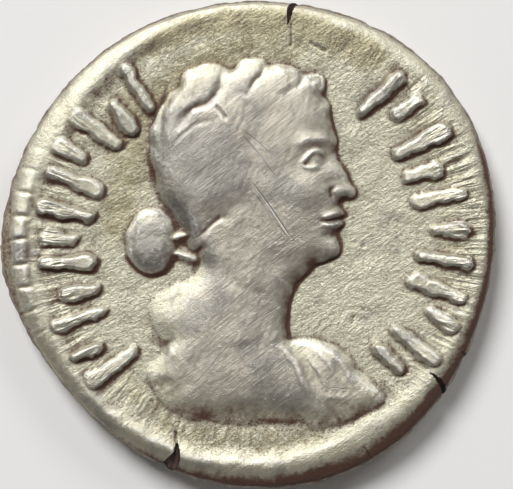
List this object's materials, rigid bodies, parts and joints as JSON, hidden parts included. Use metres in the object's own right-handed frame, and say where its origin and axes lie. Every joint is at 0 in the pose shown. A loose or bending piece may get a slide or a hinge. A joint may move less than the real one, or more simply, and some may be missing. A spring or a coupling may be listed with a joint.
{
  "type": "worn silver denarius coin",
  "caption": "Small hand-struck silver coin with a draped profile bust in relief, worn and toned, slightly out of round, with short splits in its edge.",
  "frame": {"origin": "centre of the coin's outline, on the plane that its reverse rests on", "axes": "+Z out of the obverse, +Y to the top of the bust, +X the way the bust faces"},
  "size_m": [0.0182, 0.018, 0.002],
  "materials": {
    "worn_silver": "worn silver, smooth grey on the high points and dark olive toning in the recesses"
  },
  "bodies": {
    "root": {"coin": "worn_silver"}
  },
  "joints": []
}
